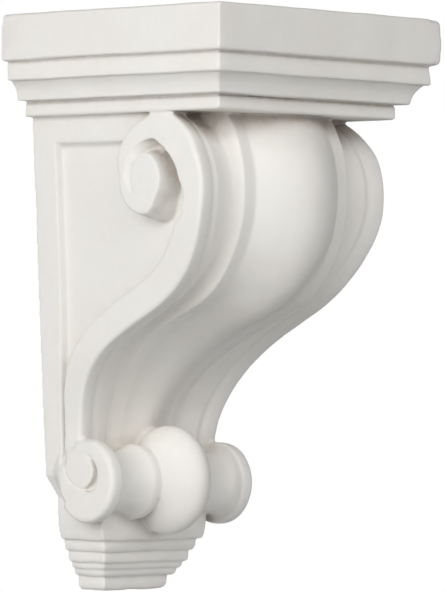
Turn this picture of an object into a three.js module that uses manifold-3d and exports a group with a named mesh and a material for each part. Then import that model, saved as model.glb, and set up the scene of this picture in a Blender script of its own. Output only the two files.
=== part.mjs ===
// A scrolled corbel cast in one piece from rigid foam and primed off-white.
// Millimetres, +Z up, the wall behind at Y = 0, the front towards -Y.
// The origin is on the flat back, on the centre line, at half the height.
import * as THREE from 'three';
import { mergeVertices } from 'three/addons/utils/BufferGeometryUtils.js';
import Module from 'manifold-3d';

const wasm = await Module();
wasm.setup();

const HEIGHT = 254;
const TOP = HEIGHT / 2;
const BOTTOM = -HEIGHT / 2;

// The stepped cap: each level is [inset of the sides, inset of the front, height].
const CAP_WIDTH = 139.6;
const CAP_DEPTH = 135.5;
const CAP_BOTTOM = 82.6;
const CAP_LEVELS = [
  [0, 0, TOP], [0, 0, 106.6], [3.8, 3.8, 106.4], [3.3, 3.3, 98], [5.6, 5.6, 97.8],
  [7.1, 7.1, 96.4], [8.1, 8.1, 95], [8.9, 8.9, 93.2], [9.6, 9.6, 89.5], [14.4, 14.4, 89.3],
  [14.3, 14.3, CAP_BOTTOM],
];

// The stepped drop below, levels as on the cap.
const DROP_WIDTH = 65.8;
const DROP_DEPTH = 28.05;
const DROP_TOP = -84;
const DROP_LEVELS = [
  [0, 0, DROP_TOP], [0, 0, -92], [0.5, 0, -96.5], [1.6, 0, -102], [3, 0.8, -104.3],
  [4.2, 1.8, -104.5], [4.8, 2.4, -107], [6.4, 4, -109.3],
  [6.8, 4.4, -109.5], [7.1, 4.7, -112.6], [8.3, 5.9, -114.3],
  [8.6, 6.2, -114.5], [10.5, 8.1, -117.2],
  [11, 8.6, -117.4], [13.4, 11, -120.6],
  [14.2, 11.8, -120.8], [14.8, 12.4, -124.5], [16.9, 14.5, BOTTOM],
];

// The wall board behind the scroll, narrower towards the foot, with a sunk panel each side.
const BOARD_HALF_AT_ORIGIN = 45.6;
const BOARD_TAPER = 0.0645;
const BOARD_FOOT = -75;
const BOARD_FOOT_SLOPE = 0.75;
const BOARD_FOOT_DEPTH = 24;
const BOARD_TOP = CAP_BOTTOM + 2;
const BOARD_ROWS = 24;
const BOARD_FIRST_ROW = 0.06;
const BOARD_NECK = -67;
const BOARD_TOP_DEPTH = 89;
const PANEL_SINK = 3.2;
const STILE_WIDTH_TOP = 13.4;
const STILE_WIDTH_FOOT = 10.6;
const RAIL_BOTTOM = 71.3;
const PANEL_FOOT = -72;
const PANEL_BEVEL = 2.6;

// The scroll in side view: two Bezier arcs for its outer edge, two for its middle.
const EDGE_PATH = [
  [-23.3, -66], [-22.6, -22.9], [-58.9, -12.8], [-81.2, 0], [-114.6, 19.1], [-130, 64.3], [-89.3, 82.1],
];
const MIDDLE_PATH = [
  [-20.8, -66], [-16.9, -26.6], [-69.9, -7.5], [-86.3, 0], [-109, 10.5], [-126.7, 49.3], [-103.1, 83],
];
const PATH_OVERRUN = 0.04;
const SCROLL_HALF_FOOT = 41.7;
const SCROLL_SWELL_LOW = 9.2;
const SCROLL_SWELL_HIGH = 4.9;
const SCROLL_TUCK_FROM = 66;
const SCROLL_TUCK = 0.17;
const STRAP_FOOT = 9.5;
const STRAP_GROWTH = 3.6;

// The front of the scroll across its width: strap, bead, cove, fillet and rib.
const STRAP_FACE = 9;
const STRAP_DIP = 1.9;
const BEAD_FROM_EDGE = 12;
const BEAD_DIP = 1.2;
const COVE_DEPTH = 3.4;
const COVE_FROM_FILLET = 2.8;
const FILLET_WIDTH = 7;
const RIB_HALF_FOOT = 15.2;
const RIB_HALF_GROWTH = 10;
const RIB_RISE_FOOT = 4.4;
const RIB_RISE_GROWTH = 8.8;
const RIB_RISE_LOSS = 5;
const RIB_FLANK = 1.02;
const RIB_STEPS = 5;
const SCROLL_ROWS = 40;

// The volute high on each side, in turns about its eye.
const VOLUTE_EYE = [-76.2, 53.3];
const VOLUTE_LIP = 15.2;
const VOLUTE_GAIN = 8.9;
const VOLUTE_LAST_GAIN = 172;
const VOLUTE_START = 62;
const VOLUTE_END = 285;
const VOLUTE_ROOT = 6;
const VOLUTE_RINGS = 4;
const VOLUTE_SIDES = 48;
const PAD_CENTRE = [-83, 52.8];
const PAD_RADIUS = 17.5;
const PAD_HALF = 48.3;

// The roll below, with a disc at each end, and the bead at its middle.
const ROLL_AXIS = [-28.2, -78.3];
const DISC_FACE = 43.9;
const DISC_RADIUS = 18.4;
const ROLL_PROFILE = [
  [0, -DISC_FACE], [17.2, -DISC_FACE], [18, -43.3], [DISC_RADIUS, -42.2], [DISC_RADIUS, -37.8],
  [17.9, -37.2], [14.6, -36.6], [13.5, -34], [13.2, -29], [13.5, -23.5], [14.3, -19.5],
  [15.7, -16.4], [16.2, -15.6], [16.2, -11.4], [15.4, -10.8],
];
const ROLL_SIDES = 32;
const BEAD_CENTRE = [-36.1, -77.3];
const BEAD_HALF_WIDTH = 12.4;
const BEAD_RADIUS = 24.1;
const DISC_EYE = [-27.9, -74.7];

// Eases from 0 to 1 as the value goes from one number to another, upwards or downwards.
function ease(from, to, value) {
  return THREE.MathUtils.smoothstep((value - from) / (to - from), 0, 1);
}

// Welds a geometry, turns its faces outwards and makes a solid of it.
function solid(geometry) {
  const bare = geometry.index ? geometry.clone() : geometry;
  bare.deleteAttribute('normal');
  bare.deleteAttribute('uv');
  const welded = mergeVertices(bare, 1e-4);
  const points = welded.attributes.position;
  const index = Array.from(welded.index.array);
  const corner = [new THREE.Vector3(), new THREE.Vector3(), new THREE.Vector3()];
  const kept = [];
  let volume = 0;
  for (let i = 0; i < index.length; i += 3) {
    const [a, b, c] = [index[i], index[i + 1], index[i + 2]];
    if (a === b || b === c || c === a) continue;
    corner.forEach((point, k) => point.fromBufferAttribute(points, index[i + k]));
    volume += corner[0].dot(corner[1].clone().cross(corner[2]));
    kept.push(a, b, c);
  }
  if (volume < 0) kept.reverse();
  const mesh = new wasm.Mesh({
    numProp: 3,
    vertProperties: new Float32Array(points.array),
    triVerts: new Uint32Array(kept),
  });
  return new wasm.Manifold(mesh);
}

// Moves every point of a geometry by a rule from its old place to its new one.
function mapped(geometry, rule) {
  const points = geometry.attributes.position;
  for (let i = 0; i < points.count; i++) {
    points.setXYZ(i, ...rule(points.getX(i), points.getY(i), points.getZ(i)));
  }
  return geometry;
}

// A unit block from 0 to 1 on each axis, cut into rows for a rule to shape.
function block(rule, across, deep, rows) {
  const geometry = new THREE.BoxGeometry(1, 1, 1, across, deep, rows);
  return solid(mapped(geometry, (x, y, z) => rule(x + 0.5, y + 0.5, z + 0.5)));
}

function stepped(width, depth, levels) {
  const last = levels.length - 1;
  return block((x, y, z) => {
    const [side, front, height] = levels[Math.round(z * last)];
    return [(x * 2 - 1) * (width / 2 - side), -y * (depth - front), height];
  }, 1, 1, last);
}

function arcs(points) {
  const path = new THREE.CurvePath();
  for (let i = 0; i + 3 < points.length; i += 3) {
    const [a, b, c, d] = points.slice(i, i + 4).map(([y, z]) => new THREE.Vector2(y, z));
    path.add(new THREE.CubicBezierCurve(a, b, c, d));
  }
  return path;
}

// A point on a two-arc path, running on straight past its upper end.
function along(path, t) {
  const inside = Math.min(t, 1);
  const half = inside < 0.5 ? 0 : 1;
  const local = inside * 2 - half;
  const point = path.curves[half].getPoint(local);
  const heading = path.curves[half].getTangent(local);
  if (t > 1) point.addScaledVector(heading, (t - 1) * HEIGHT);
  return { point, outward: new THREE.Vector2(-heading.y, heading.x) };
}

const edgePath = arcs(EDGE_PATH);
const middlePath = arcs(MIDDLE_PATH);

function boardHalf(z) {
  const half = BOARD_HALF_AT_ORIGIN + BOARD_TAPER * z;
  return half - Math.max(0, BOARD_FOOT - z) * BOARD_FOOT_SLOPE;
}

function scrollHalf(z) {
  const low = SCROLL_SWELL_LOW * ease(-62, -14, z);
  const high = SCROLL_SWELL_HIGH * ease(0, 40, z);
  return SCROLL_HALF_FOOT + low + high - SCROLL_TUCK * Math.max(0, z - SCROLL_TUCK_FROM);
}

function strapWidth(z) {
  return STRAP_FOOT + STRAP_GROWTH * ease(-60, -8, z);
}

// Half the front's outline at one height: [distance from the centre, rise, share of middle path].
function frontHalf(z) {
  const edge = scrollHalf(z);
  const rib = RIB_HALF_FOOT + RIB_HALF_GROWTH * ease(-46, -4, z);
  const rise = RIB_RISE_FOOT + RIB_RISE_GROWTH * ease(-22, 45, z) - RIB_RISE_LOSS * ease(66, 82, z);
  const fillet = rib + FILLET_WIDTH - 2 * ease(-10, -44, z);
  const valley = fillet + COVE_FROM_FILLET;
  const bead = edge - BEAD_FROM_EDGE;
  const cove = (valley + bead) / 2;
  const columns = [
    [edge, 0, 0],
    [edge - STRAP_FACE, -STRAP_DIP, 0],
    [bead, -BEAD_DIP, 0.05],
    [cove, -COVE_DEPTH * 0.8, 0.2],
    [valley, -COVE_DEPTH, 0.6],
    [fillet, 0, 1],
    [rib, 0, 1],
  ];
  for (let i = 1; i <= RIB_STEPS; i++) {
    const angle = RIB_FLANK * (1 - i / RIB_STEPS);
    const x = rib * Math.sin(angle) / Math.sin(RIB_FLANK);
    const lift = (Math.cos(angle) - Math.cos(RIB_FLANK)) / (1 - Math.cos(RIB_FLANK));
    columns.push([x, rise * lift, 1]);
  }
  return columns;
}

// The bent strap that carries the whole front, thick enough to show as a band at the sides.
function scroll() {
  const columnCount = 2 * (7 + RIB_STEPS) - 2;
  return block((x, y, z) => {
    const t = z * (1 + PATH_OVERRUN);
    const edge = along(edgePath, t);
    const middle = along(middlePath, t);
    const column = Math.round(x * columnCount);
    const half = frontHalf(edge.point.y);
    const mirror = column < half.length ? -1 : 1;
    const [across, rise, share] = half[Math.min(column, columnCount - column)];
    if (y < 0.5) {
      const back = edge.point.clone().addScaledVector(edge.outward, -strapWidth(edge.point.y));
      const spread = scrollHalf(back.y) / half[0][0];
      return [mirror * across * spread, back.x, back.y];
    }
    const front = edge.point.clone().lerp(middle.point, share);
    front.addScaledVector(edge.outward.clone().lerp(middle.outward, share).normalize(), rise);
    return [mirror * across, front.x, front.y];
  }, columnCount, 1, SCROLL_ROWS);
}

// A flat outline in the side view, given thickness across the width.
function sideways(outline, from, to) {
  const shape = new THREE.Shape(outline.map(([y, z]) => new THREE.Vector2(y, z)));
  const geometry = new THREE.ExtrudeGeometry(shape, { depth: 1, bevelEnabled: false });
  return mapped(geometry, (y, z, x) => [x < 0.5 ? from(z) : to(z), y, z]);
}

// The board runs forward into the strap, and its foot narrows to the drop.
function board() {
  const front = [];
  for (let i = 0; i <= BOARD_ROWS; i++) {
    const edge = along(edgePath, THREE.MathUtils.lerp(BOARD_FIRST_ROW, 1, i / BOARD_ROWS));
    const inner = edge.point.clone().addScaledVector(edge.outward, -STRAP_FOOT / 2);
    front.push([inner.x, inner.y]);
  }
  const outline = [
    [0, BOARD_TOP], [0, BOARD_FOOT], [-BOARD_FOOT_DEPTH, BOARD_FOOT], [-BOARD_FOOT_DEPTH, BOARD_NECK],
    ...front, [-BOARD_TOP_DEPTH, BOARD_TOP],
  ];
  const upper = solid(sideways(outline, (z) => -boardHalf(z), boardHalf));
  const foot = block((x, y, z) => {
    const height = THREE.MathUtils.lerp(DROP_TOP - 2, BOARD_FOOT, z);
    return [(x * 2 - 1) * boardHalf(height), -y * BOARD_FOOT_DEPTH, height];
  }, 1, 1, 1);
  return upper.add(foot);
}

function panelCut(side) {
  return block((x, y, z) => {
    const sunk = x < 0.5 ? 1 : 0;
    const low = PANEL_FOOT + sunk * PANEL_BEVEL;
    const high = RAIL_BOTTOM - sunk * PANEL_BEVEL;
    const height = THREE.MathUtils.lerp(low, high, z);
    const share = (height - PANEL_FOOT) / (RAIL_BOTTOM - PANEL_FOOT);
    const stile = THREE.MathUtils.lerp(STILE_WIDTH_FOOT, STILE_WIDTH_TOP, share);
    const back = -stile - sunk * PANEL_BEVEL;
    const reach = sunk ? -PANEL_SINK : 0.6;
    return [side * (boardHalf(height) + reach), THREE.MathUtils.lerp(back, -CAP_DEPTH, y), height];
  }, 1, 1, 12);
}

// The volute's outer edge, falling inwards by an even amount for each degree.
function voluteEdge(degrees) {
  return VOLUTE_LIP + VOLUTE_GAIN * Math.max(0, VOLUTE_LAST_GAIN - degrees) / 57.3;
}

// The edge of the inner turn, which closes on the groove where the groove ends.
function innerTurn(degrees) {
  return 11.9 - 4.3 * ease(55, 170, degrees) + 3 * ease(-40, -76, degrees);
}

function grooveOuter(degrees) {
  return THREE.MathUtils.clamp(24.6 - 0.083 * degrees, 8.3, 20);
}

function grooveDepth(degrees) {
  return 7.5 - 6.9 * ease(70, 225, degrees);
}

function polar([y, z], degrees, radius) {
  const angle = THREE.MathUtils.degToRad(degrees);
  return [y - radius * Math.cos(angle), z + radius * Math.sin(angle)];
}

// A disc turned in rings, pushed out to the spiral's edge and back to the panel.
function volute(side) {
  const profile = [];
  for (let i = 0; i <= VOLUTE_RINGS; i++) profile.push(new THREE.Vector2(i / VOLUTE_RINGS, 0));
  for (let i = VOLUTE_RINGS; i >= 0; i--) profile.push(new THREE.Vector2(i / VOLUTE_RINGS, 1));
  const geometry = new THREE.LatheGeometry(profile, VOLUTE_SIDES);
  return solid(mapped(geometry, (x, y, z) => {
    const turn = THREE.MathUtils.radToDeg(Math.atan2(z, x));
    const degrees = turn < VOLUTE_END - 360 ? turn + 360 : turn;
    const reach = degrees < VOLUTE_START ? innerTurn(degrees) : voluteEdge(degrees);
    const [py, pz] = polar(VOLUTE_EYE, degrees, Math.hypot(x, z) * reach);
    return [side * (y < 0.5 ? boardHalf(pz) - VOLUTE_ROOT : scrollHalf(pz)), py, pz];
  }));
}

// A curved groove between two turns, cut down from a face.
function grooveCut({ centre, from, to, steps, outer, inner, depth, face, side }) {
  return block((x, y, z) => {
    const degrees = THREE.MathUtils.lerp(from, to, z);
    const radius = THREE.MathUtils.lerp(inner(degrees), outer(degrees), y);
    const [py, pz] = polar(centre, degrees, radius);
    const level = x < 0.5 ? face(pz) - depth(degrees) : face(pz) + 2;
    return [side * level, py, pz];
  }, 1, 1, steps);
}

function voluteGroove(side) {
  return grooveCut({
    centre: VOLUTE_EYE, from: 42, to: 229, steps: 26, side,
    outer: grooveOuter, inner: innerTurn, depth: grooveDepth, face: scrollHalf,
  });
}

// The small eye on each end disc: a crescent that thins into a line towards the board.
function discGroove(side) {
  const tail = (a) => 5.2 * ease(-108, -215, a);
  return grooveCut({
    centre: DISC_EYE, from: 88, to: -212, steps: 28, side,
    outer: (a) => 8 + tail(a),
    inner: (a) => 7.7 - 2.3 * ease(88, 25, a) + 1.3 * ease(-30, -95, a) + tail(a),
    depth: () => 3,
    face: () => DISC_FACE,
  });
}

function pad(side) {
  const depth = 6;
  const geometry = new THREE.CylinderGeometry(PAD_RADIUS, PAD_RADIUS, depth, 28);
  geometry.rotateZ(Math.PI / 2);
  geometry.translate(side * (PAD_HALF - depth / 2), ...PAD_CENTRE);
  return solid(geometry);
}

function roll() {
  const half = ROLL_PROFILE.map(([radius, x]) => new THREE.Vector2(radius, x));
  const other = ROLL_PROFILE.map(([radius, x]) => new THREE.Vector2(radius, -x)).reverse();
  const geometry = new THREE.LatheGeometry([...half, ...other], ROLL_SIDES);
  geometry.rotateZ(-Math.PI / 2);
  geometry.translate(0, ...ROLL_AXIS);
  return solid(geometry);
}

function bead() {
  const geometry = new THREE.SphereGeometry(1, 32, 18);
  geometry.rotateZ(Math.PI / 2);
  geometry.scale(BEAD_HALF_WIDTH, BEAD_RADIUS, BEAD_RADIUS);
  geometry.translate(0, ...BEAD_CENTRE);
  return solid(geometry);
}

function corbel() {
  let body = board();
  for (const side of [-1, 1]) body = body.subtract(panelCut(side));
  for (const side of [-1, 1]) body = body.add(pad(side)).add(volute(side));
  body = body.add(scroll());
  for (const side of [-1, 1]) body = body.subtract(voluteGroove(side));
  body = body.add(roll());
  for (const side of [-1, 1]) body = body.subtract(discGroove(side));
  body = body.add(bead());
  body = body.add(stepped(DROP_WIDTH, DROP_DEPTH, DROP_LEVELS));
  return body.add(stepped(CAP_WIDTH, CAP_DEPTH, CAP_LEVELS));
}

function toMesh(body, name, finish) {
  const { vertProperties, triVerts, numProp } = body.getMesh();
  const geometry = new THREE.BufferGeometry();
  const position = new Float32Array((vertProperties.length / numProp) * 3);
  for (let i = 0; i < position.length; i++) {
    position[i] = vertProperties[Math.floor(i / 3) * numProp + (i % 3)];
  }
  geometry.setAttribute('position', new THREE.BufferAttribute(position, 3));
  geometry.setIndex(Array.from(triVerts));
  const mesh = new THREE.Mesh(geometry, finish);
  mesh.name = name;
  return mesh;
}

const primedFoam = new THREE.MeshStandardMaterial({ color: 0xeeebe6, roughness: 0.62, metalness: 0 });

const part = new THREE.Group();
part.add(toMesh(corbel(), 'corbel', primedFoam));

export default part;
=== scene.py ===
"""A scrolled corbel, cast in one piece from rigid foam and primed off-white.

Shapes are worked out in millimetres, in the frame's own axes: the wall is at Y = 0, the front
faces -Y, and the origin is on the back at half the height. The finished mesh is in metres.
"""

import bisect
import logging
import math
from collections.abc import Callable, Iterable, Sequence
from dataclasses import dataclass, field
from enum import Enum

import bmesh
import bpy
from mathutils import Matrix, Vector, noise

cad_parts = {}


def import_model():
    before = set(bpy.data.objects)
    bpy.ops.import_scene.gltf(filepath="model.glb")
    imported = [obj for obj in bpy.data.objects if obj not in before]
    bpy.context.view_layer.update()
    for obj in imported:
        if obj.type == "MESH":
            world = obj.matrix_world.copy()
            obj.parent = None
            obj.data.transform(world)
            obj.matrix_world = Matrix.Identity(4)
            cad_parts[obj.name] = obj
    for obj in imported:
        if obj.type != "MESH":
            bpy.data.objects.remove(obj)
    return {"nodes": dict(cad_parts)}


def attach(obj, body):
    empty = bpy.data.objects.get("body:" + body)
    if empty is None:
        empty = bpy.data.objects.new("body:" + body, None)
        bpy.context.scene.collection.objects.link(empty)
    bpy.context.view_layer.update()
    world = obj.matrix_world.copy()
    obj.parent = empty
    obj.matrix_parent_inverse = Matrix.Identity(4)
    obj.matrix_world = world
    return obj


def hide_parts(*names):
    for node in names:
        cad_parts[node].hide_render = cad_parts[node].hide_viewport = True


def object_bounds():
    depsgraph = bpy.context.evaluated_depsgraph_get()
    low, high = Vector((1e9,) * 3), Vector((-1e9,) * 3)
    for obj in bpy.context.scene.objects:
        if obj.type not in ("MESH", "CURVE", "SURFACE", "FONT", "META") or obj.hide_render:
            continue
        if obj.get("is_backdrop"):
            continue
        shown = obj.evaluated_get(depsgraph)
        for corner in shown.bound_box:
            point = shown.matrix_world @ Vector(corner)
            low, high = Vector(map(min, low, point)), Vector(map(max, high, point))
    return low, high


log = logging.getLogger("corbel")

MM = 0.001
IMAGE_HEIGHT = 592
TOUCHING = 1e-4

Place = Callable[[float, float, bool], tuple[float, float, float]]
Colour = tuple[float, float, float, float]


class Side(Enum):
    """The two sides of the corbel, seen from the front."""

    LEFT = -1
    RIGHT = 1


def ease(start: float, end: float, value: float) -> float:
    """Goes smoothly from 0 at start to 1 at end, upwards or downwards."""
    share = min(max((value - start) / (end - start), 0.0), 1.0)
    return share * share * (3 - 2 * share)


def mix(a: float, b: float, share: float) -> float:
    """A value that lies the given share of the way from a to b."""
    return a + (b - a) * share


def trace(points: Sequence[tuple[float, float]], value: float) -> float:
    """Reads a value off a line through measured points.

    Args:
        points: Pairs of place and value, with rising places.
        value: The place to read at. Outside the points the end values hold.

    Returns:
        The value there, on a straight line between its neighbours.
    """
    i = bisect.bisect_right([place for place, _ in points], value)
    if i == 0 or i == len(points):
        return points[min(i, len(points) - 1)][1]
    (start, first), (end, second) = points[i - 1:i + 1]
    return mix(first, second, (value - start) / (end - start))


def quarter(
    inset: float, height: float, radius: float, steps: int = 4
) -> list[tuple[float, float]]:
    """Rounds the lower outer corner of a moulding.

    Args:
        inset: How far in the moulding's face stands.
        height: Where its underside lies.
        radius: The radius of the corner.
        steps: How many straight bits make the round.

    Returns:
        Pairs of inset and height, going down and in.
    """
    angles = [math.pi / 2 * i / steps for i in range(steps + 1)]
    return [
        (inset + radius * (1 - math.cos(a)), height + radius * (1 - math.sin(a))) for a in angles
    ]


def polar(centre: tuple[float, float], degrees: float, radius: float) -> tuple[float, float]:
    """A point about a centre in the side view, by its angle up from the front."""
    angle = math.radians(degrees)
    return (centre[0] - radius * math.cos(angle), centre[1] + radius * math.sin(angle))


def rounded(radius: float, rim: float, round_off: float) -> float:
    """How far a face has fallen at a radius, where its rim is rounded off."""
    over = min(max(0.0, radius - rim + round_off) / round_off, 1.0)
    return round_off * (1 - math.sqrt(1 - over * over))


def close_up(shell: bmesh.types.BMesh) -> bmesh.types.BMesh:
    """Merges a shell's doubles, turns its faces outwards and hands it back."""
    bmesh.ops.remove_doubles(shell, verts=list(shell.verts), dist=TOUCHING)
    bmesh.ops.recalc_face_normals(shell, faces=list(shell.faces))
    return shell


def thicken(
    shell: bmesh.types.BMesh, shares: Callable[[Vector], tuple[float, float]], place: Place
) -> bmesh.types.BMesh:
    """Gives a flat sheet a back and places both.

    Args:
        shell: The sheet.
        shares: Turns a point of the sheet into the two numbers that place takes.
        place: Gives the finished point for them, and whether it is at the back.

    Returns:
        The closed shell.
    """
    grown = bmesh.ops.extrude_face_region(shell, geom=list(shell.faces))
    back = {item for item in grown["geom"] if isinstance(item, bmesh.types.BMVert)}
    for vert in shell.verts:
        first, second = shares(vert.co)
        vert.co = place(first, second, vert in back)
    return close_up(shell)


def slab(columns: int, rows: int, place: Place) -> bmesh.types.BMesh:
    """Makes a closed slab between two grids.

    Args:
        columns: How many faces it has across.
        rows: How many faces it has up.
        place: Gives the point for a share across and up, and whether it is at the back.

    Returns:
        The closed shell.
    """
    shell = bmesh.new()
    bmesh.ops.create_grid(shell, x_segments=columns, y_segments=rows, size=0.5)
    return thicken(shell, lambda co: (co.x + 0.5, co.y + 0.5), place)


def disc(rings: int, steps: int, place: Place) -> bmesh.types.BMesh:
    """Makes a closed disc from a spun spoke.

    Args:
        rings: How many rings of faces it has.
        steps: How many faces go round.
        place: Gives the point for an angle in degrees and a share of the radius, and whether
            it is at the back.

    Returns:
        The closed shell.
    """
    shell = bmesh.new()
    spoke = [shell.verts.new((i / rings, 0, 0)) for i in range(rings + 1)]
    edges = [shell.edges.new(pair) for pair in zip(spoke, spoke[1:])]
    bmesh.ops.spin(
        shell, geom=spoke + edges, axis=(0, 0, 1), cent=(0, 0, 0), angle=math.tau, steps=steps,
        use_merge=True,
    )
    bmesh.ops.remove_doubles(shell, verts=list(shell.verts), dist=TOUCHING)
    return thicken(shell, lambda co: (math.degrees(math.atan2(co.y, co.x)), co.length), place)


def turned(profile: Sequence[tuple[float, float]], steps: int) -> bmesh.types.BMesh:
    """Turns a profile about the X axis.

    Args:
        profile: Pairs of radius and X, starting and ending on the axis.
        steps: How many faces go round.

    Returns:
        The closed shell.
    """
    shell = bmesh.new()
    rim = [shell.verts.new((x, 0, radius)) for radius, x in profile]
    edges = [shell.edges.new(pair) for pair in zip(rim, rim[1:])]
    bmesh.ops.spin(
        shell, geom=rim + edges, axis=(1, 0, 0), cent=(0, 0, 0), angle=math.tau, steps=steps,
        use_merge=True,
    )
    return close_up(shell)


@dataclass
class Stack:
    """A stepped block of mouldings that stands against the wall.

    Each level gives how far in its sides stand, how far in its front stands, and its height.
    """

    width: float
    depth: float
    left_round: float
    right_round: float
    levels: list[tuple[float, float, float]]
    steps: int = 6

    def outline(self, side: float, front: float) -> list[tuple[float, float]]:
        """The front of one level, from its left corner to its right one.

        Args:
            side: How far in the level's sides stand.
            front: How far in its front stands.

        Returns:
            Points as pairs of X and Y, with both corners rounded.
        """
        half, face = self.width / 2 - side, front - self.depth
        turns = [math.pi / 2 * i / self.steps for i in range(self.steps + 1)]
        points = []
        for hand, radius in ((-1, self.left_round), (1, self.right_round)):
            corner = [
                (hand * (half - radius * (1 - math.sin(t))), face + radius * (1 - math.cos(t)))
                for t in turns
            ]
            points += corner[::hand]
        return points

    def shells(self) -> list[bmesh.types.BMesh]:
        """The block as one closed shell."""
        last = len(self.levels) - 1
        columns = 2 * self.steps + 1
        outlines = [self.outline(side, front) for side, front, _ in self.levels]

        def place(across: float, up: float, back: bool) -> tuple[float, float, float]:
            """A point of the block's face, or of its back on the wall."""
            level = round(up * last)
            x, y = outlines[level][round(across * columns)]
            return (x, 0.0 if back else y, self.levels[level][2])

        return [slab(columns, last, place)]


def cap() -> Stack:
    """The cap: a deep plain block over two fillets, a cove and a last fillet.

    Returns:
        The block, whose front and sides step in alike.
    """
    levels = [(1.2, 127.0), (0.4, 126.7), (0.0, 126.0)]
    levels += quarter(0.0, 106.6, 1.3)
    levels += [(4.6, 106.7), (4.3, 106.2), (3.7, 105.6), (3.5, 102.0)]
    levels += quarter(3.2, 97.9, 0.9)
    levels += [(6.3, 98.0), (5.9, 97.4)]
    levels += [(6.4, 96.8), (7.4, 95.6), (8.3, 94.2), (8.9, 92.6), (9.4, 91.0)]
    levels += quarter(9.5, 89.3, 0.8)
    levels += [(15.2, 89.4), (14.9, 88.8), (14.3, 88.2)]
    levels += quarter(14.2, 82.6, 1.2)
    return Stack(
        width=139.6, depth=135.5, left_round=0.8, right_round=2.6,
        levels=[(inset, inset, height) for inset, height in levels],
    )


def drop() -> Stack:
    """The drop: a plain block over five small stepped rounds.

    Returns:
        The block, whose front steps in a little less than its sides.
    """
    levels = [
        (0.0, 0.0, -84.0), (0.0, 0.0, -92.0), (0.3, 0.0, -96.5), (1.2, 0.0, -101.5),
        (1.8, 0.2, -103.3), (2.5, 0.7, -104.3),
        (4.5, 2.6, -104.2), (4.2, 2.3, -105.0), (4.4, 2.3, -107.0), (4.9, 2.9, -108.5),
        (5.6, 3.6, -109.3),
        (7.0, 5.0, -109.2), (6.6, 4.6, -110.0), (6.7, 4.7, -112.4), (7.0, 5.0, -113.7),
        (7.5, 5.5, -114.3),
        (8.9, 6.9, -114.2), (8.6, 6.6, -115.0), (8.8, 6.8, -116.3), (9.4, 7.4, -117.2),
        (10.8, 8.8, -117.1), (10.4, 8.4, -117.8), (10.7, 8.7, -119.4), (11.8, 9.8, -120.6),
        (13.5, 11.6, -120.5), (13.2, 11.3, -121.2), (13.3, 11.4, -124.2), (13.8, 12.0, -126.0),
        (15.2, 13.4, -127.0),
    ]
    return Stack(width=65.8, depth=28.05, left_round=0.4, right_round=0.8, levels=levels)


@dataclass(frozen=True)
class Sweep:
    """A path of two Bezier arcs in the side view, as pairs of Y and Z."""

    points: tuple[tuple[float, float], ...]
    overrun: float = 254.0

    def at(self, share: float) -> tuple[Vector, Vector]:
        """A point of the path.

        Args:
            share: How far along it lies. Past 1 the path runs on straight.

        Returns:
            The point, and the direction that points out to the front.
        """
        inside = min(share, 1.0)
        first = 0 if inside < 0.5 else 3
        t = inside * 2 - (0 if inside < 0.5 else 1)
        a, b, c, d = (Vector(p) for p in self.points[first:first + 4])
        s = 1 - t
        point = a * s**3 + b * (3 * t * s**2) + c * (3 * t * t * s) + d * t**3
        heading = (b - a) * s**2 + (c - b) * (2 * t * s) + (d - c) * t * t
        heading.normalize()
        if share > 1:
            point += heading * (share - 1) * self.overrun
        return point, Vector((-heading.y, heading.x))


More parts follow.
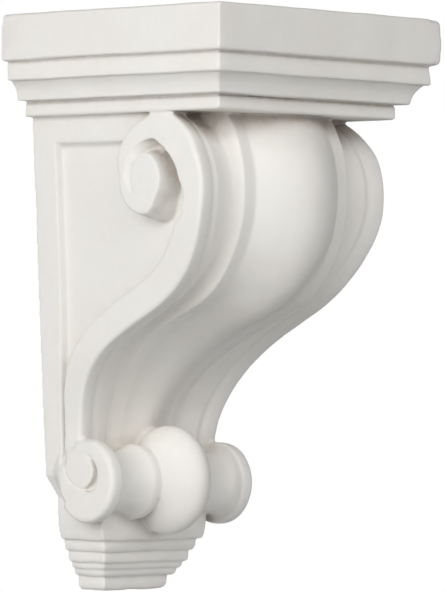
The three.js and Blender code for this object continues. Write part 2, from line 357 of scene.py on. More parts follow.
@dataclass
class Scroll:
    """The S-shaped front: side straps with a bead and a cove, and a bold rib in the middle.

    From the centre line out, its section has the rib, a fillet, a step down into the cove, the
    cove, a shallow quirk and the strap.
    """

    edge: Sweep = Sweep((
        (-23.3, -66), (-22.6, -22.9), (-58.9, -12.8), (-81.2, 0), (-114.6, 19.1), (-127.6, 64.3),
        (-89.3, 82.1),
    ))
    middle: Sweep = Sweep((
        (-20.8, -66), (-16.9, -26.6), (-69.9, -7.5), (-86.3, 0), (-109, 10.5), (-126.7, 49.3),
        (-103.1, 83),
    ))
    columns: int = 132
    rows: int = 240
    whole_run: float = 1.04
    foot_half: float = 42.3
    lower_swell: float = 9.2
    upper_swell: float = 5.8
    taper_start: float = 66.0
    taper: float = 0.17
    foot_strap: float = 9.5
    strap_growth: float = 3.6
    volute_waist: float = 2.6
    foot_rib: float = 15.2
    rib_growth: float = 10.0
    rib_arc: float = 1.0
    foot_rise: float = 4.4
    rise_growth: float = 8.8
    top_fall: float = 5.0
    fillet_width: float = 7.0
    fillet_narrowing: float = 2.0
    fillet_slope: float = 1.5
    step_width: float = 2.6
    cove_depth: float = 3.3
    cove_end_depth: float = 1.0
    bead_inset: float = 12.0
    quirk_inset: float = 9.3
    quirk_depth: float = 1.6
    strap_swell: float = 0.55
    arris_round: float = 1.5
    fin_inset: float = 9.8
    fin_half: float = 1.2
    fin_height: float = 1.3

    def half(self, z: float) -> float:
        """Half the scroll's width at a height."""
        low = self.lower_swell * ease(-62, -14, z)
        high = self.upper_swell * ease(0, 44, z)
        return self.foot_half + low + high - self.taper * max(0.0, z - self.taper_start)

    def strap(self, z: float) -> float:
        """How deep the strap shows as a band at the side, with a waist beside the volute's eye."""
        waist = self.volute_waist * ease(29, 35, z) * ease(58, 44, z)
        return self.foot_strap + self.strap_growth * ease(-60, -8, z) - waist

    def rib_height(self, x: float, rib: float, z: float) -> float:
        """How high the rib stands.

        Args:
            x: The distance from the centre line.
            rib: Half the rib's width.
            z: The height, which turns its section from a bell low down to a plain arc.

        Returns:
            The rise over the middle path.
        """
        rise = self.foot_rise + self.rise_growth * ease(-22, 45, z) - self.top_fall * ease(66, 82, z)
        end = math.cos(self.rib_arc)
        arc = (math.cos(self.rib_arc * x / rib) - end) / (1 - end)
        bell = (1 + math.cos(math.pi * x / rib)) / 2
        return rise * mix(bell, arc, ease(5, 48, z))

    def strap_height(self, x: float, edge: float, z: float) -> float:
        """How high the front of the strap stands.

        Args:
            x: The distance from the centre line.
            edge: Half the scroll's width.
            z: The height. Just under the cap the strap carries a thin fin.

        Returns:
            The rise over the edge path, with the quirk, the fin and the rounded arris.
        """
        beside = max(0.0, 1 - abs(x - edge + self.fin_inset) / self.fin_half)
        fin = self.fin_height * ease(70, 78, z) * beside
        quirk = edge - self.quirk_inset
        if x <= quirk:
            sunk = ease(edge - self.bead_inset + 0.4, quirk, x)
            return mix(-self.cove_end_depth, -self.quirk_depth, sunk) + fin
        swell = self.strap_swell * ease(edge - 7, edge - 3, x)
        sunk = self.quirk_depth * ease(edge - 6.2, quirk, x)
        return swell - sunk + fin - rounded(x, edge, self.arris_round)

    def relief(self, x: float, z: float) -> tuple[float, float]:
        """The section across the front.

        Args:
            x: The distance from the centre line.
            z: The height.

        Returns:
            How far the surface rises, and its share of the middle path.
        """
        edge = self.half(z)
        rib = self.foot_rib + self.rib_growth * ease(-46, -4, z)
        fillet = rib + self.fillet_width - self.fillet_narrowing * ease(-10, -44, z)
        valley = fillet + self.step_width
        bead = edge - self.bead_inset
        low = ease(4, -34, z)
        if x <= rib:
            return self.rib_height(x, rib, z), 1.0
        if x <= fillet:
            return -self.fillet_slope * low * (x - rib) / (fillet - rib), 1.0
        if x <= valley:
            share = mix(ease(fillet, valley, x), (x - fillet) / (valley - fillet), low)
            return mix(-self.fillet_slope * low, -self.cove_depth, share), 1 - 0.75 * share
        if x <= bead:
            share = (x - valley) / (bead - valley)
            rise = mix(-self.cove_depth, -self.cove_end_depth, share ** mix(1.3, 0.7, low))
            return rise, 0.25 * (1 - share) ** 2
        return self.strap_height(x, edge, z), 0.0

    def shells(self) -> list[bmesh.types.BMesh]:
        """The bent strap that carries the whole front."""

        def place(across: float, up: float, back: bool) -> tuple[float, float, float]:
            """A point of the front, or of the strap's inner face."""
            share = up * self.whole_run
            edge, out = self.edge.at(share)
            span = across * 2 - 1
            if back:
                inner = edge - out * self.strap(edge.y)
                return (span * self.half(inner.y), inner.x, inner.y)
            half = self.half(edge.y)
            rise, part = self.relief(abs(span) * half, edge.y)
            middle, middle_out = self.middle.at(share)
            point = edge.lerp(middle, part) + out.lerp(middle_out, part).normalized() * rise
            return (span * half, point.x, point.y)

        return [slab(self.columns, self.rows, place)]


@dataclass
class Board:
    """The wall board behind the scroll, with a sunk panel in each side."""

    scroll: Scroll
    bottom: float = -86.0
    top: float = 84.6
    middle_half: float = 45.6
    taper: float = 0.0645
    foot: float = -76.0
    foot_taper: float = 0.75
    neck: float = -68.0
    foot_reach: float = 24.0
    neck_reach: float = 18.0
    overlap: float = 5.0
    sink: float = 3.0
    rail: float = 71.3
    upright_end: float = 74.0
    low_stile: float = 10.9
    high_stile: float = 13.4
    step_width: float = 2.9
    overcut: float = 1.1
    upright_thickness: float = 7.0
    upright_columns: int = 24
    rows: int = 150

    def half(self, z: float) -> float:
        """Half the board's width, which falls away below its foot."""
        return self.middle_half + self.taper * z - self.foot_taper * max(0.0, self.foot - z)

    def stile(self, z: float) -> float:
        """How wide the upright beside the wall is."""
        return mix(self.low_stile, self.high_stile, ease(-60, 12, z))

    def front(self) -> Callable[[float], float]:
        """Works out how far forward the board reaches, just into the back of the strap.

        Returns:
            A rule that gives Y for a height.
        """
        inner = []
        for i in range(101):
            point, out = self.scroll.edge.at(0.05 + 0.95 * i / 100)
            inner.append(point - out * self.overlap)
        heights = [point.y for point in inner]

        def reach(z: float) -> float:
            """The board's front at a height."""
            if z < heights[0]:
                return -self.foot_reach if z < self.neck else -self.neck_reach
            i = min(bisect.bisect_left(heights, z), len(heights) - 1)
            return inner[i].x

        return reach

    def upright(self, side: Side) -> Place:
        """Works out the upright on one side.

        Args:
            side: Which side it is on.

        Returns:
            A rule that places the points of its slab.
        """

        def place(across: float, up: float, back: bool) -> tuple[float, float, float]:
            """A point of the upright's face, which steps down into the panel at its front."""
            z = mix(-self.upright_end, self.upright_end, up)
            wide = self.stile(z) + self.step_width
            y = -wide * across
            fall = self.sink * self.overcut * ease(wide - self.step_width, wide, -y)
            return (side.value * (self.half(z) - (self.upright_thickness if back else fall)), y, z)

        return place

    def shells(self) -> list[bmesh.types.BMesh]:
        """The board's core, and the two uprights beside the wall."""
        reach = self.front()

        def core(across: float, up: float, back: bool) -> tuple[float, float, float]:
            """A point of the core, which is sunk between the rail and the foot."""
            z = mix(self.bottom, self.top, up)
            sunk = self.sink * ease(self.rail, self.rail - 2.4, z) * ease(-71.6, -70, z)
            half = self.half(z) - sunk
            return (mix(-half, half, across), 0.0 if back else reach(z), z)

        uprights = [slab(self.upright_columns, self.rows, self.upright(side)) for side in Side]
        return [slab(1, self.rows, core)] + uprights


@dataclass
class Volute:
    """The spiral high on one side: an eye with a groove that runs out of the strap.

    Angles are in degrees up from the front, about the eye. From the seam to the start there is
    only the eye's own wall over the board, and from the start on the band goes round it.
    """

    scroll: Scroll
    board: Board
    side: Side
    eye: tuple[float, float] = (-76.7, 53.3)
    start: float = 62.0
    seam: float = -76.0
    rings: int = 68
    steps: int = 300
    eye_share: float = 0.45
    root: float = 6.0
    end_radius: float = 15.2
    unwinding: float = 0.155
    wound_up: float = 172.0
    rim_round: float = 1.9
    eye_radius: float = 11.9
    eye_narrowing: float = 4.5
    groove_start: float = 24.6
    groove_closing: float = 0.083
    groove_least: float = 8.6
    groove_most: float = 20.2
    full_depth: float = 6.4
    cove_share: float = 0.85

    def outline(self, degrees: float) -> float:
        """The radius of the spiral's outer edge.

        Args:
            degrees: The angle.

        Returns:
            The radius, which before the start is that of the eye's wall.
        """
        if degrees < self.start:
            return self.inner(degrees)
        return self.end_radius + self.unwinding * max(0.0, self.wound_up - degrees)

    def inner(self, degrees: float) -> float:
        """The radius of the foot of the eye's wall.

        Args:
            degrees: The angle.

        Returns:
            The radius, widest below and least behind the eye.
        """
        wide = (0.7 + 0.6 * ease(30, 60, degrees)) * ease(108, 75, degrees)
        narrow = self.eye_narrowing * ease(60, 195, degrees)
        return self.eye_radius - narrow + wide + 3.2 * ease(-38, self.seam, degrees)

    def outer(self, degrees: float) -> float:
        """The radius of the groove's outer wall.

        Args:
            degrees: The angle.

        Returns:
            The radius, slightly fuller where the groove turns down.
        """
        full = 0.8 * ease(150, 178, degrees) * ease(215, 190, degrees)
        closing = self.groove_start - self.groove_closing * degrees
        return min(max(closing, self.groove_least), self.groove_most) + full

    def depth(self, degrees: float) -> float:
        """How deep the groove is beside the eye: deep, then shallow, then nothing."""
        shallow = self.full_depth - 5.3 * ease(66, 135, degrees) + 0.4 * ease(138, 158, degrees)
        return shallow - 1.5 * ease(204, 233, degrees)

    def flare(self, degrees: float) -> float:
        """How much wider than its face the spiral stands on the board."""
        if degrees < self.start:
            return 1.6 + 2.6 * ease(-25, -60, degrees)
        return 4.2 * ease(225, 360 + self.seam, degrees)

    def fall(self, degrees: float, radius: float) -> float:
        """How far the face is cut back by the groove or by the eye's sloping wall.

        Args:
            degrees: The angle.
            radius: The distance from the middle of the eye.

        Returns:
            The depth below the scroll's side.
        """
        depth = self.depth(max(degrees, self.start))
        foot = self.inner(degrees)
        lip = 0.5 + 1.7 * ease(110, 50, degrees)
        down = min(max(0.0, (radius - foot + lip) / lip), 1.0) ** 1.6
        if degrees < self.start:
            return depth * down
        outer = self.outer(degrees)
        cove = mix(0.8, self.cove_share * (outer - foot), ease(self.start, 92, degrees))
        down *= min(max(0.0, (outer - radius) / cove), 1.0) ** 0.7
        steeper = 0.85 * ease(95, self.start, degrees) * max(0.0, radius - foot)
        return depth * down + steeper * ease(outer, outer - 0.8, radius)

    def shells(self) -> list[bmesh.types.BMesh]:
        """The disc with its groove, which stands on the board."""

        def place(turn: float, share: float, back: bool) -> tuple[float, float, float]:
            """A point of the disc's face, or of its back inside the board."""
            degrees = turn + 360 if turn < self.seam else turn
            foot, rim = self.inner(degrees), self.outline(degrees)
            if share < self.eye_share:
                radius = foot * share / self.eye_share
            else:
                radius = mix(foot, rim, (share - self.eye_share) / (1 - self.eye_share))
            if back:
                y, z = polar(self.eye, degrees, radius * (1 + self.flare(degrees) / rim))
                return (self.side.value * (self.board.half(z) - self.root), y, z)
            y, z = polar(self.eye, degrees, radius)
            face = self.scroll.half(z) - self.fall(degrees, radius)
            if degrees >= self.start:
                face -= rounded(radius, rim, self.rim_round)
            return (self.side.value * face, y, z)

        return [disc(self.rings, self.steps, place)]


@dataclass
class Roll:
    """The cross roll at the foot of the scroll, with a disc at each end and a ball.

    Places are pairs of Y and Z, the profile is pairs of radius and X, and the small spiral's
    lines are pairs of an angle in degrees up from the front and a radius or a depth.
    """

    board: Board
    axis: tuple[float, float] = (-28.2, -78.5)
    tilt: float = 1.2
    face: float = 43.9
    radius: float = 18.4
    rim_round: float = 2.6
    thickness: float = 5.0
    fairing: float = 9.0
    fairing_low: float = 40.4
    sheer: float = 5.0
    rings: int = 64
    steps: int = 240
    eye: tuple[float, float] = (-27.9, -74.7)
    spiral_end: float = 96.0
    slot_depth: float = 3.0
    ball: tuple[float, float] = (-36.1, -77.3)
    ball_half: float = 12.4
    ball_radius: float = 24.1
    core: float = 41.0
    profile: list[tuple[float, float]] = field(default_factory=lambda: [
        (18.4, 41.0), (18.4, 38.6), (18.2, 37.6), (17.5, 37.0), (15.8, 36.7), (14.6, 36.1),
        (13.8, 34.6), (13.3, 32.0), (13.1, 28.5), (13.15, 25.5), (13.5, 23.2), (14.1, 20.9),
        (15.0, 18.7), (15.9, 17.0), (16.5, 16.2), (16.5, 15.8), (16.3, 11.6), (15.4, 10.9),
        (13.0, 10.4),
    ])
    spiral_inner: tuple[tuple[float, float], ...] = (
        (-200, 12.4), (-190, 12.1), (-180, 11.5), (-170, 10.3), (-142, 8.1), (-114, 7.0),
        (-88, 6.8), (-59, 5.8), (-15, 5.6), (9, 5.8), (40, 6.0), (66, 6.8), (93, 7.6),
    )
    spiral_outer: tuple[tuple[float, float], ...] = (
        (-200, 14.2), (-190, 13.5), (-180, 12.8), (-170, 11.6), (-142, 9.3), (-114, 8.2),
        (-85, 8.4), (-63, 9.4), (-47, 10.0), (-26, 9.7), (-2, 9.0), (21, 8.2), (66, 8.2),
        (93, 8.0),
    )
    spiral_depth: tuple[tuple[float, float], ...] = (
        (-205, 0.9), (-150, 0.8), (-108, 1.0), (-82, 2.0), (-55, 3.0), (20, 3.0), (60, 2.0),
        (85, 0.8), (95, 0.0),
    )

    def eye_depth(self, y: float, z: float) -> float:
        """How deep the small spiral and the slot it runs into are.

        Args:
            y: The point's Y.
            z: The point's height.

        Returns:
            The depth below the end disc's face.
        """
        dy, dz = y - self.eye[0], z - self.eye[1]
        turn = math.degrees(math.atan2(dz, -dy))
        turn = turn - 360 if turn > self.spiral_end else turn
        inner, outer = trace(self.spiral_inner, turn), trace(self.spiral_outer, turn)
        reach = math.hypot(dy, dz)
        spiral = ease(inner - 0.3, inner + 0.9, reach) * ease(outer, outer - 0.7, reach)
        spiral *= trace(self.spiral_depth, turn) * ease(-212, -200, turn)
        slot = ease(-15.6, -14.4, y) * ease(-10.6, -12.4, y) * ease(-74.5, -66.5, z)
        return max(spiral, self.slot_depth * slot)

    def end(self, side: Side) -> bmesh.types.BMesh:
        """One end disc, eased into the board and the strap behind it.

        Args:
            side: Which end it is.

        Returns:
            The closed shell.
        """

        def place(turn: float, share: float, back: bool) -> tuple[float, float, float]:
            """A point of the disc's face, or of its back inside the roll and the board."""
            turn %= 360
            more = self.fairing * ease(108, 136, turn) * ease(224, 200, turn)
            radius = share * (self.radius + more)
            y, z = polar(self.axis, turn, radius)
            y = min(y, 0.0)
            if back:
                thick = self.thickness
                thick += self.fairing * ease(self.radius, self.radius + 1.5, radius)
                return (side.value * (self.face - thick), y, z)
            low = min(self.fairing_low, self.board.half(z) - 0.4)
            eased = (self.face - low) * ease(self.radius - 4, self.radius + more - 0.5, radius)
            sheer = rounded(radius, self.radius, self.rim_round)
            sheer += self.sheer * max(0.0, radius - self.radius)
            fall = mix(sheer, eased, ease(0, 3, more))
            return (side.value * (self.face - fall - self.eye_depth(y, z)), y, z)

        return disc(self.rings, self.steps, place)

    def middle_ball(self) -> bmesh.types.BMesh:
        """The flattened ball at the roll's middle."""
        ball = bmesh.new()
        bmesh.ops.create_uvsphere(ball, u_segments=96, v_segments=48, radius=1)
        bmesh.ops.rotate(ball, matrix=Matrix.Rotation(math.pi / 2, 3, "Y"), verts=list(ball.verts))
        size = (self.ball_half, self.ball_radius, self.ball_radius)
        bmesh.ops.scale(ball, vec=size, verts=list(ball.verts))
        bmesh.ops.translate(ball, vec=(0, *self.ball), verts=list(ball.verts))
        return ball

    def shells(self) -> list[bmesh.types.BMesh]:
        """The turned roll and its two end discs, all slightly tilted, and the ball."""
        mirrored = [(radius, -x) for radius, x in reversed(self.profile)]
        poles = (0, self.core), (0, -self.core)
        roll = turned([poles[0], *self.profile, *mirrored, poles[1]], self.steps)
        bmesh.ops.translate(roll, vec=(0, *self.axis), verts=list(roll.verts))
        tilted = [roll, *(self.end(side) for side in Side)]
        centre = Vector((0, *self.axis))
        turn = Matrix.Rotation(math.radians(self.tilt), 3, "Y")
        for shell in tilted:
            bmesh.ops.rotate(shell, cent=centre, matrix=turn, verts=list(shell.verts))
        return [*tilted, self.middle_ball()]


@dataclass(frozen=True)
class SoftSpot:
    """A place where the cast came out rounder than the rest."""

    place: tuple[float, float, float]
    reach: float
    times: int


@dataclass
class Casting:
    """The whole corbel, fused from its parts and worn as foam casts are."""

    name: str = "corbel_casting"
    voxel: float = 0.52
    soften: int = 3
    most_triangles: int = 194_000
    flat_back: float = -0.02
    wave_length: float = 27.0
    wave: float = 0.2
    cap_wave: float = 0.42
    cap_shrink: float = 0.08
    dent_length: float = 9.0
    dent: float = 0.14
    drop_dent: float = 0.5
    drop_lean: float = 0.35
    soft_spots: tuple[SoftSpot, ...] = (
        SoftSpot((69.8, -135.5, 127.0), 9.0, 60),
        SoftSpot((69.8, -135.5, 106.6), 7.0, 40),
        SoftSpot((-69.8, 0.0, 127.0), 5.0, 20),
        SoftSpot((0.0, -28.0, -56.0), 13.0, 30),
        SoftSpot((43.0, -27.0, -61.0), 5.0, 20),
        SoftSpot((-43.0, -27.0, -60.0), 5.0, 20),
    )

    def fuse(self, shells: Iterable[bmesh.types.BMesh]) -> bpy.types.Object:
        """Joins overlapping shells into one skin.

        Args:
            shells: The closed shells, which are freed.

        Returns:
            An object with one closed mesh, still in millimetres.
        """
        whole = bmesh.new()
        for shell in shells:
            part = bpy.data.meshes.new("part")
            shell.to_mesh(part)
            shell.free()
            whole.from_mesh(part)
            bpy.data.meshes.remove(part)
        mesh = bpy.data.meshes.new(self.name)
        whole.to_mesh(mesh)
        whole.free()
        piece = bpy.data.objects.new(self.name, mesh)
        bpy.context.collection.objects.link(piece)
        skin = piece.modifiers.new("skin", "REMESH")
        skin.mode = "VOXEL"
        skin.voxel_size = self.voxel
        soft = piece.modifiers.new("soften", "SMOOTH")
        soft.factor = 0.5
        soft.iterations = self.soften
        self.bake(piece)
        return piece

    def bake(self, piece: bpy.types.Object) -> None:
        """Puts a piece's modifiers into its mesh.

        Args:
            piece: The piece, which is left without modifiers.
        """
        graph = bpy.context.evaluated_depsgraph_get()
        baked = bpy.data.meshes.new_from_object(piece.evaluated_get(graph), depsgraph=graph)
        piece.modifiers.clear()
        old = piece.data
        piece.data = baked
        bpy.data.meshes.remove(old)
        baked.name = self.name

    def swell(self, at: Vector) -> float:
        """How far the skin stands out of true at a point.

        Args:
            at: The point.

        Returns:
            The height of the cast's slight waves and dents there.
        """
        cap = ease(80, 92, at.z)
        wave = mix(self.wave, self.cap_wave, cap) * noise.noise(at / self.wave_length)
        wave -= self.cap_shrink * cap
        rough = mix(self.dent, self.drop_dent, ease(-98, -106, at.z))
        return wave + rough * noise.noise(at / self.dent_length + Vector((7, 3, 5)))

    def weather(self, piece: bpy.types.Object, box: tuple[Vector, Vector]) -> None:
        """Gives the skin a cast's soft spots, slight waves and dents, inside a box.

        Args:
            piece: The fused piece.
            box: Its lowest and highest corners in millimetres, which it may not pass.
        """
        skin = bmesh.new()
        skin.from_mesh(piece.data)
        for spot in self.soft_spots:
            near = [v for v in skin.verts if (v.co - Vector(spot.place)).length < spot.reach]
            for _ in range(spot.times):
                bmesh.ops.smooth_vert(
                    skin, verts=near, factor=0.5, use_axis_x=True, use_axis_y=True, use_axis_z=True
                )
        skin.normal_update()
        low, high = box
        for vert in skin.verts:
            if vert.co.y > self.flat_back:
                continue
            moved = vert.co + vert.normal * self.swell(vert.co)
            moved.x -= self.drop_lean * ease(-100, -124, vert.co.z)
            vert.co = [min(max(moved[i], low[i]), high[i]) for i in range(3)]
        skin.to_mesh(piece.data)
        skin.free()

    def thin(self, piece: bpy.types.Object) -> None:
        """Drops triangles where the skin is flat, and turns millimetres into metres.

        Args:
            piece: The piece, which ends with no more triangles than a piece may have.
        """
        piece.data.calc_loop_triangles()
        count = len(piece.data.loop_triangles)
        if count > self.most_triangles:
            fewer = piece.modifiers.new("fewer", "DECIMATE")
            fewer.ratio = self.most_triangles / count
            self.bake(piece)
        piece.data.transform(Matrix.Scale(MM, 4))
        piece.data.shade_smooth()
        piece.data.calc_loop_triangles()
        log.info("%s: %d triangles", piece.name, len(piece.data.loop_triangles))

    def build(
        self, shells: Iterable[bmesh.types.BMesh], box: tuple[Vector, Vector]
    ) -> bpy.types.Object:
        """Makes the finished piece.

        Args:
            shells: The closed shells of all the parts.
            box: The lowest and highest corners in millimetres that it may not pass.

        Returns:
            The piece, dressed in primer.
        """
        piece = self.fuse(shells)
        log.info("fused: %d faces", len(piece.data.polygons))
        self.weather(piece, box)
        self.thin(piece)
        piece.data.materials.clear()
        piece.data.materials.append(PrimedFoam().material())
        return piece


class Wire:
    """A shader socket that sums can be written with."""

    def __init__(self, tree: "Shader", socket: bpy.types.NodeSocket) -> None:
        """Keeps the tree that new nodes go into, and the socket."""
        self.tree = tree
        self.socket = socket

    def _sum(self, operation: str, first: object, second: object) -> "Wire":
        """Adds one Math node."""
        return self.tree.node("ShaderNodeMath", {"operation": operation}, {0: first, 1: second})

    def __add__(self, other: object) -> "Wire":
        """Adds."""
        return self._sum("ADD", self, other)

    __radd__ = __add__

    def __mul__(self, other: object) -> "Wire":
        """Multiplies."""
        return self._sum("MULTIPLY", self, other)

    __rmul__ = __mul__

    def __sub__(self, other: object) -> "Wire":
        """Takes away."""
        return self._sum("SUBTRACT", self, other)

    def __rsub__(self, other: object) -> "Wire":
        """Takes this from a number."""
        return self._sum("SUBTRACT", other, self)

    def between(self, low: float, high: float) -> "Wire":
        """Goes smoothly from 0 at low to 1 at high."""
        settings = {"interpolation_type": "SMOOTHSTEP", "clamp": True}
        return self.tree.node("ShaderNodeMapRange", settings, {0: self, 1: low, 2: high})


class Shader:
    """The node tree of a material or of the world."""

    def __init__(self, owner: bpy.types.Material | bpy.types.World) -> None:
        """Empties the owner's node tree."""
        owner.use_nodes = True
        self.nodes = owner.node_tree.nodes
        self.links = owner.node_tree.links
        self.nodes.clear()

    def node(
        self, kind: str, settings: dict | None = None, inputs: dict | None = None,
        output: int | str = 0,
    ) -> Wire:
        """Adds any node.

        Args:
            kind: The node's type.
            settings: Its own settings, which are set first.
            inputs: Values or wires for its sockets, by place or name.
            output: Which of its outputs to hand back.

        Returns:
            The output as a wire.
        """
        made = self.nodes.new(kind)
        for key, value in (settings or {}).items():
            setattr(made, key, value)
        for key, value in (inputs or {}).items():
            if isinstance(value, Wire):
                self.links.new(value.socket, made.inputs[key])
            else:
                made.inputs[key].default_value = value
        return Wire(self, made.outputs[output] if len(made.outputs) else None)

    def blend(self, share: Wire, first: Wire | Colour, second: Wire | Colour) -> Wire:
        """Mixes two colours."""
        sockets = {0: share, 6: first, 7: second}
        return self.node("ShaderNodeMix", {"data_type": "RGBA"}, sockets, output=2)

    def cloud(self, place: Wire, scale: float, detail: float, shift: float) -> Wire:
        """Adds a noise pattern.

        Args:
            place: The coordinates that it reads.
            scale: How many blotches lie side by side in a metre.
            detail: How many finer layers it has.
            shift: How far it is moved, so that no two patterns match.

        Returns:
            The pattern's value.
        """
        moved = self.node(
            "ShaderNodeMapping", inputs={"Vector": place, "Location": (shift, shift, -shift)}
        )
        return self.node(
            "ShaderNodeTexNoise",
            inputs={"Vector": moved, "Scale": scale, "Detail": detail, "Roughness": 0.55},
        )


@dataclass(frozen=True)
class PrimedFoam:
    """Factory primer on smooth cast foam: chalky off-white with a low sheen."""

    name: str = "primed_polyurethane"
    colour: Colour = (0.80, 0.785, 0.755, 1)
    warm: Colour = (0.775, 0.75, 0.705, 1)
    mark: Colour = (0.60, 0.585, 0.55, 1)
    # Painted shade: the warm brown that hollows and creases are darkened towards.
    hollow_shade: Colour = (0.46, 0.40, 0.34, 1)
    roughness: float = 0.5
    sheen: float = 0.35
    shelter_reach: float = 0.014
    relief: float = 0.55
    relief_height: float = 0.0006

    def material(self) -> bpy.types.Material:
        """Mixes the primer: blotches, specks, painted shade in the hollows and a slightly uneven
        skin.

        Returns:
            The material.
        """
        made = bpy.data.materials.new(self.name)
        tree = Shader(made)
        place = tree.node("ShaderNodeTexCoord", output="Object")
        broad = tree.cloud(place, 26, 3, 0.3).between(0.3, 0.7)
        fine = tree.cloud(place, 240, 4, 0.7).between(0.35, 0.75)
        specks = tree.cloud(place, 620, 2, 1.3).between(0.72, 0.8)
        specks *= tree.cloud(place, 48, 2, 2.1).between(0.5, 0.62)
        colour = tree.blend(broad * 0.7 + fine * 0.3, self.colour, self.warm)
        colour = tree.blend(specks * 0.5, colour, self.mark)
        # Painted shade: an ambient-occlusion mask darkens the colour towards a warm brown in
        # hollows, creases and recesses.
        open_air = tree.node(
            "ShaderNodeAmbientOcclusion", {"samples": 6, "only_local": True},
            {"Distance": self.shelter_reach}, output="AO",
        )
        hollows = 1 - open_air.between(0.2, 0.8)
        colour = tree.blend(hollows * (0.55 + 0.35 * fine), colour, self.hollow_shade)
        roughness = self.roughness + 0.1 * broad + 0.08 * fine
        waves = 0.6 * tree.cloud(place, 95, 2, 3.3) + 0.22 * tree.cloud(place, 420, 3, 4.7)
        waves += 0.06 * tree.cloud(place, 1500, 2, 5.9)
        bumps = tree.node("ShaderNodeBump", inputs={
            "Strength": self.relief, "Distance": self.relief_height,
            "Height": waves - specks * 0.25,
        })
        skin = tree.node("ShaderNodeBsdfPrincipled", inputs={
            "Base Color": colour, "Roughness": roughness, "Normal": bumps,
            "Specular IOR Level": self.sheen,
        })
        tree.node("ShaderNodeOutputMaterial", inputs={"Surface": skin})
        return made


@dataclass(frozen=True)
class StudioFloor:
    """Plain pale paper for the floor."""

    name: str = "studio_floor"
    colour: Colour = (0.9, 0.9, 0.895, 1)

    def material(self) -> bpy.types.Material:
        """The paper as a material."""
        made = bpy.data.materials.new(self.name)
        tree = Shader(made)
        paper = tree.node("ShaderNodeBsdfDiffuse", inputs={"Color": self.colour})
        tree.node("ShaderNodeOutputMaterial", inputs={"Surface": paper})
        return made


def bearing(azimuth: float, elevation: float) -> Vector:
    """The direction away from the corbel for an azimuth and an elevation in radians."""
    level = math.cos(elevation)
    return Vector((math.sin(azimuth) * level, -math.cos(azimuth) * level, math.sin(elevation)))


@dataclass
class Camera:
    """The camera, fitted to the corners of the cap and the drop.

    Its angles are in degrees, and its lengths in hundredths of the corbel's height.
    """

    azimuth: float = -44.905
    pitch: float = -0.697
    roll: float = 0.632
    distance: float = 790.116
    across: float = 1.5803
    up: float = 1.7298
    focal_pixels: float = 4559.12
    sensor: float = 36.0
    unit: float = 2.54 * MM
    target: tuple[float, float, float] = (0, -25, 0)

    def build(self) -> None:
        """Puts the camera in the scene."""
        roll = math.radians(self.roll)
        back = bearing(math.radians(self.azimuth), math.radians(self.pitch))
        right = Vector((0, 0, 1)).cross(back).normalized()
        above = back.cross(right)
        side = right * math.cos(roll) + above * math.sin(roll)
        top = above * math.cos(roll) - right * math.sin(roll)
        centre = Vector(self.target) + back * self.distance + right * self.across + above * self.up
        lens = bpy.data.cameras.new("camera")
        lens.sensor_fit = "VERTICAL"
        lens.sensor_height = self.sensor
        lens.lens = self.sensor * self.focal_pixels / IMAGE_HEIGHT
        lens.clip_end = 50
        camera = bpy.data.objects.new("camera", lens)
        turn = Matrix((side, top, back)).transposed().to_4x4()
        camera.matrix_world = Matrix.Translation(centre * self.unit) @ turn
        bpy.context.collection.objects.link(camera)
        bpy.context.scene.camera = camera


@dataclass
class Lamp:
    """A large soft square lamp that looks at the corbel, placed by angles in degrees."""

    name: str
    azimuth: float
    elevation: float
    power: float
    size: float = 1.0
    distance: float = 1.6
    target: tuple[float, float, float] = (0, -0.07, 0)

    def build(self) -> None:
        """Hangs the lamp."""
        light = bpy.data.lights.new(self.name, "AREA")
        light.shape = "SQUARE"
        light.size = self.size
        light.energy = self.power
        out = bearing(math.radians(self.azimuth), math.radians(self.elevation))
        lamp = bpy.data.objects.new(self.name, light)
        lamp.location = Vector(self.target) + out * self.distance
        lamp.rotation_euler = out.to_track_quat("Z", "Y").to_euler()
        bpy.context.collection.objects.link(lamp)


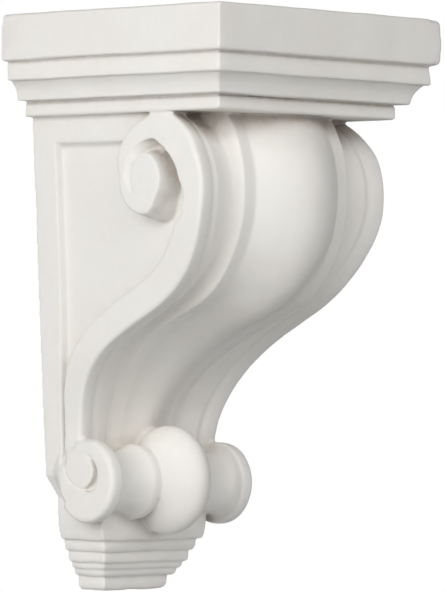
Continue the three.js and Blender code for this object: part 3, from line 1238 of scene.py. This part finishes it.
@dataclass
class Studio:
    """White surroundings, a pale floor under the hanging part, and soft lamps."""

    floor_height: float = -0.5
    floor_radius: float = 1.1
    sky: float = 0.01
    white: Colour = (1, 1, 1, 1)
    lamps: tuple[Lamp, ...] = (
        Lamp("key_lamp", -75, 15, 13.9),
        Lamp("side_lamp", -95, 15, 5.3),
        Lamp("rear_lamp", -120, 0, 3.0),
        Lamp("front_lamp", -35, 30, 5.1),
        Lamp("middle_lamp", -10, 25, 2.3),
        Lamp("right_lamp", 20, 15, 8.6),
    )

    def build(self) -> None:
        """Lays the floor, lights the scene and whitens what is behind it."""
        sheet = bmesh.new()
        bmesh.ops.create_circle(sheet, cap_ends=True, segments=96, radius=self.floor_radius)
        bmesh.ops.translate(sheet, vec=(0, 0, self.floor_height), verts=list(sheet.verts))
        mesh = bpy.data.meshes.new("studio_floor")
        sheet.to_mesh(mesh)
        sheet.free()
        mesh.materials.append(StudioFloor().material())
        floor = bpy.data.objects.new("studio_floor", mesh)
        bpy.context.collection.objects.link(floor)
        floor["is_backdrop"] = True
        for lamp in self.lamps:
            lamp.build()
        self.surroundings()
        bpy.context.scene.view_settings.view_transform = "Standard"

    def surroundings(self) -> None:
        """Makes the world plain white to the eye and dim as a light."""
        world = bpy.data.worlds.new("white_surroundings")
        tree = Shader(world)
        glow = {"Color": self.white, "Strength": self.sky}
        light = tree.node("ShaderNodeBackground", inputs=glow)
        seen = tree.node("ShaderNodeBackground", inputs={"Color": self.white, "Strength": 1.0})
        looked_at = tree.node("ShaderNodeLightPath", output="Is Camera Ray")
        both = tree.node("ShaderNodeMixShader", inputs={0: looked_at, 1: light, 2: seen})
        tree.node("ShaderNodeOutputWorld", inputs={"Surface": both})
        bpy.context.scene.world = world


def main() -> None:
    """Builds the corbel and its studio."""
    logging.basicConfig(level=logging.INFO, format="%(name)s: %(message)s")
    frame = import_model()
    log.info("frame: %d nodes", len(frame["nodes"]))
    solid_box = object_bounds()
    Camera().build()
    Studio().build()

    scroll = Scroll()
    board = Board(scroll)
    parts = [cap(), drop(), board, scroll, Roll(board)]
    parts += [Volute(scroll, board, side) for side in Side]
    shells = []
    for part in parts:
        made = part.shells()
        log.info("%s: %d shells", type(part).__name__, len(made))
        shells += made

    low, high = (Vector(corner) / MM for corner in solid_box)
    piece = Casting().build(shells, (low, high))
    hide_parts("corbel")
    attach(piece, "root")


if __name__ == "__main__":
    main()
